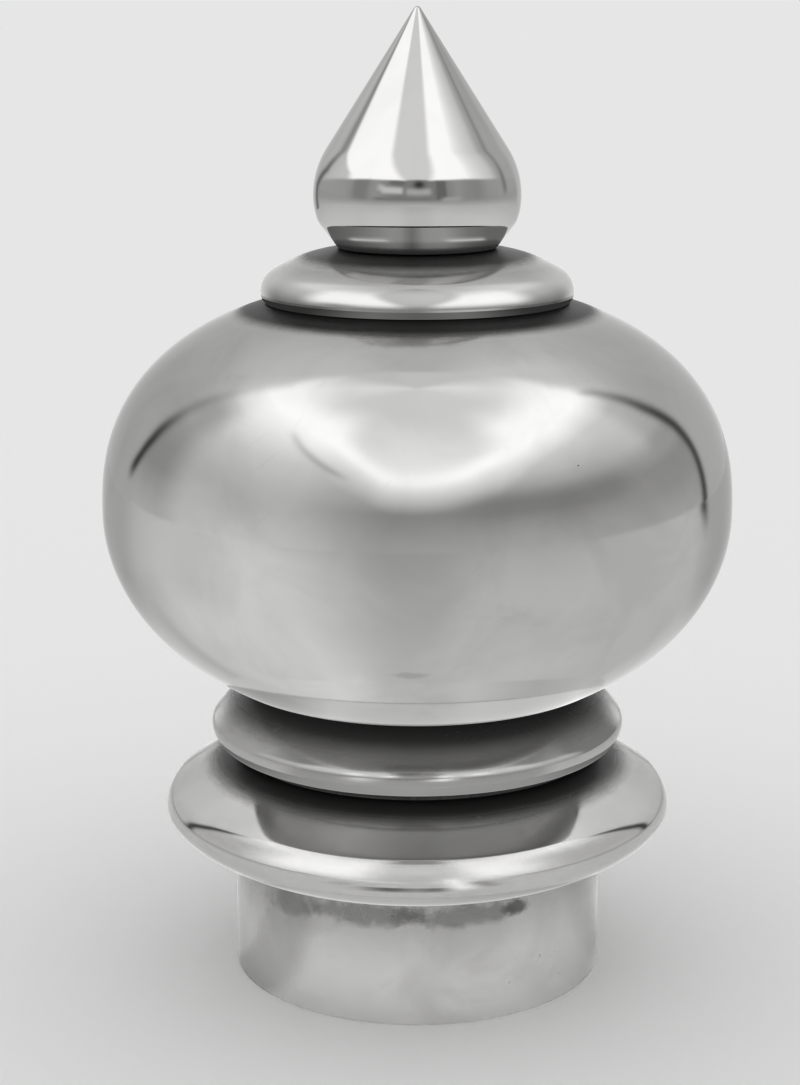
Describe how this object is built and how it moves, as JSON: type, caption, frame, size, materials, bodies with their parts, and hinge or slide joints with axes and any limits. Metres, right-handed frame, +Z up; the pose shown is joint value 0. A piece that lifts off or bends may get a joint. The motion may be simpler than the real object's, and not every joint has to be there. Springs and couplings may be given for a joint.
{
  "type": "fence post finial",
  "caption": "Polished stainless-steel post finial: pointed spike on a saucer and a flattened ball, with a bead ring and flared base over an open collar that slips onto a round post.",
  "frame": {"origin": "centre of the collar's open lower end, on the plane the finial stands on", "axes": "+Z up along the turning axis, from the collar to the tip of the spike; the part is round, so X and Y are any two square directions"},
  "size_m": [0.132, 0.132, 0.2032],
  "materials": {
    "collar_steel": "plain polished tube, a little dull, with fine scuffs",
    "flange_steel": "mirror-polished stainless steel",
    "bead_steel": "mirror-polished stainless steel",
    "ball_steel": "polished stainless steel, slightly clouded by buffing",
    "saucer_steel": "mirror-polished stainless steel",
    "spike_steel": "mirror-polished stainless steel"
  },
  "bodies": {
    "root": {"collar": "collar_steel", "base_flange": "flange_steel", "bead_ring": "bead_steel", "ball": "ball_steel", "saucer": "saucer_steel", "spike": "spike_steel"}
  },
  "joints": []
}
